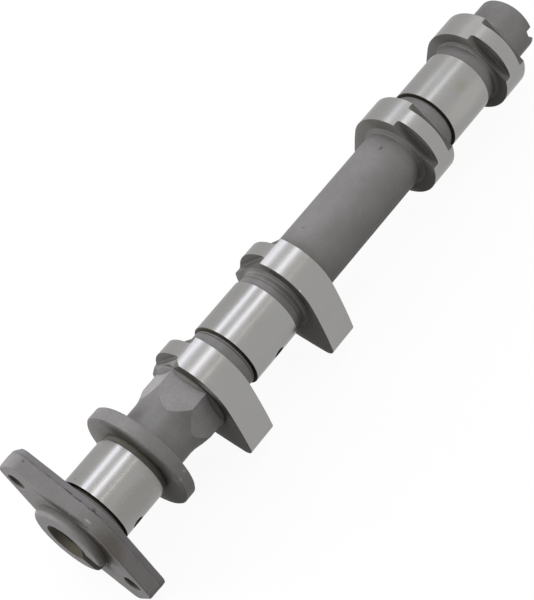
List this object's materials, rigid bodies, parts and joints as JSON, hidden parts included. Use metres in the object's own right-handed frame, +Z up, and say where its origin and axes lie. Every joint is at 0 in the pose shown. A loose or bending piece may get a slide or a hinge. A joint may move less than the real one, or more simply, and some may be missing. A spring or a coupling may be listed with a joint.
{
  "type": "camshaft",
  "caption": "One-piece cast camshaft with an eared sprocket flange, ground bearing journals, a thrust collar, a spanner hexagon and cam lobes in pairs set a quarter turn apart.",
  "frame": {"origin": "where the shaft's axis meets the front face of the sprocket flange", "axes": "+X along the shaft from the flange to the far end; +Z up as the shaft lies on the second pair of cam noses and a corner of the flange's ear; +Y completes a right-handed set"},
  "size_m": [0.2294, 0.0522, 0.0422],
  "materials": {
    "camshaft": "as cast and blasted, with ground journals and cam tracks"
  },
  "bodies": {
    "root": {"camshaft": "camshaft"}
  },
  "joints": []
}
